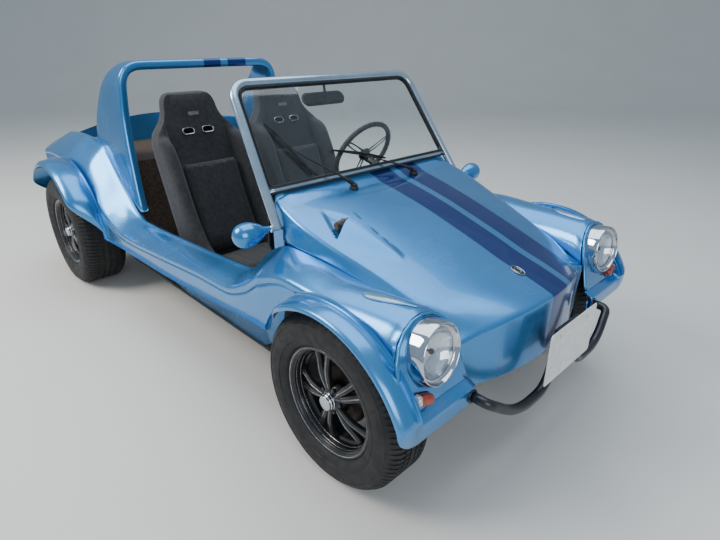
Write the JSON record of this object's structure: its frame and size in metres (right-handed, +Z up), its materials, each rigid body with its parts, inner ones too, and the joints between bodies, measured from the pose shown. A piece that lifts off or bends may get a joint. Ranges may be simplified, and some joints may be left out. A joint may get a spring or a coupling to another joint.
{
  "type": "dune buggy",
  "caption": "Open two-seat dune buggy with a moulded body, framed windshield, moulded roll hoop, bucket seats and open rear engine; wheels spin and the front pair steer with the steering wheel.",
  "frame": {"origin": "on the ground, midway along and across the vehicle", "axes": "+X to the vehicle's left, +Y to its rear, +Z up"},
  "size_m": [1.7, 3.5, 1.345],
  "materials": {
    "body_paint": "metallic silver-blue paint with clear coat and two dark blue stripes",
    "frame_black": "satin black",
    "windshield_glass": "clear laminated glass",
    "trim_black": "fine-grained black",
    "seat_fabric": "black woven cloth",
    "chrome": "bright plating",
    "lamp_glass": "clear fluted glass",
    "amber_lens": "translucent amber",
    "red_lens": "translucent red",
    "badge_metal": "plain polished",
    "plate_white": "blank white",
    "tyre_rubber": "black rubber",
    "wheel_alloy": "dark satin spokes with polished edges",
    "cast_alloy": "as cast",
    "exhaust_steel": "bare steel"
  },
  "bodies": {
    "body": {"dashboard": "trim_black", "engine": "cast_alloy", "exhaust": "exhaust_steel", "fan_shroud": "frame_black", "floor_pan": "frame_black", "front_axle_beam": "frame_black", "front_bumper": "frame_black", "front_fender_left": "body_paint", "front_fender_right": "body_paint", "hand_levers": "trim_black", "headlamp_bezel_left": "chrome", "headlamp_bezel_right": "chrome", "headlamp_left": "lamp_glass", "headlamp_right": "lamp_glass", "hood": "body_paint", "hood_badge": "badge_metal", "interior_mirror": "trim_black", "number_plate": "plate_white", "rear_bumper": "frame_black", "rear_deck": "body_paint", "rear_fender_left": "body_paint", "rear_fender_right": "body_paint", "rear_suspension": "frame_black", "roll_hoop": "body_paint", "seat_cushion_left": "seat_fabric", "seat_cushion_right": "seat_fabric", "seat_shell_left": "trim_black", "seat_shell_right": "trim_black", "seat_squab_left": "seat_fabric", "seat_squab_right": "seat_fabric", "side_mirror_left": "body_paint", "side_mirror_right": "body_paint", "side_pod_left": "body_paint", "side_pod_right": "body_paint", "steering_column": "frame_black", "tail_lamp_left": "red_lens", "tail_lamp_right": "red_lens", "tail_panel": "body_paint", "transaxle": "cast_alloy", "turn_signal_left": "amber_lens", "turn_signal_right": "amber_lens", "windshield_frame": "frame_black", "windshield_glass": "windshield_glass", "wiper_left": "trim_black", "wiper_right": "trim_black"},
    "steering_wheel": {"steering_wheel": "trim_black"},
    "knuckle_left": {"knuckle_left": "frame_black"},
    "knuckle_right": {"knuckle_right": "frame_black"},
    "wheel_front_left": {"tyre_front_left": "tyre_rubber", "wheel_front_left": "wheel_alloy"},
    "wheel_front_right": {"tyre_front_right": "tyre_rubber", "wheel_front_right": "wheel_alloy"},
    "wheel_rear_left": {"tyre_rear_left": "tyre_rubber", "wheel_rear_left": "wheel_alloy"},
    "wheel_rear_right": {"tyre_rear_right": "tyre_rubber", "wheel_rear_right": "wheel_alloy"}
  },
  "joints": [
    {"name": "steer_left", "type": "hinge", "parent": "body", "child": "knuckle_left", "pos_m": [0.56, -1.25, 0.325], "axis": [0, 0, 1], "range_deg": [-25, 25]},
    {"name": "steer_right", "type": "hinge", "parent": "body", "child": "knuckle_right", "pos_m": [-0.56, -1.25, 0.325], "axis": [0, 0, 1], "range_deg": [-25, 25]},
    {"name": "steering_wheel_turn", "type": "hinge", "parent": "body", "child": "steering_wheel", "pos_m": [0.33, -0.37, 0.895], "axis": [0, 0.8829, 0.4695], "range_deg": [-350, 350]},
    {"name": "spin_front_left", "type": "hinge", "parent": "knuckle_left", "child": "wheel_front_left", "pos_m": [0.625, -1.25, 0.325], "axis": [1, 0, 0], "continuous": true},
    {"name": "spin_front_right", "type": "hinge", "parent": "knuckle_right", "child": "wheel_front_right", "pos_m": [-0.625, -1.25, 0.325], "axis": [1, 0, 0], "continuous": true},
    {"name": "spin_rear_left", "type": "hinge", "parent": "body", "child": "wheel_rear_left", "pos_m": [0.69, 1.15, 0.341], "axis": [1, 0, 0], "continuous": true},
    {"name": "spin_rear_right", "type": "hinge", "parent": "body", "child": "wheel_rear_right", "pos_m": [-0.69, 1.15, 0.341], "axis": [1, 0, 0], "continuous": true}
  ],
  "couplings": [
    {"joint": "steer_right", "follows": "steer_left", "ratio": 1},
    {"joint": "steering_wheel_turn", "follows": "steer_left", "ratio": 14}
  ]
}
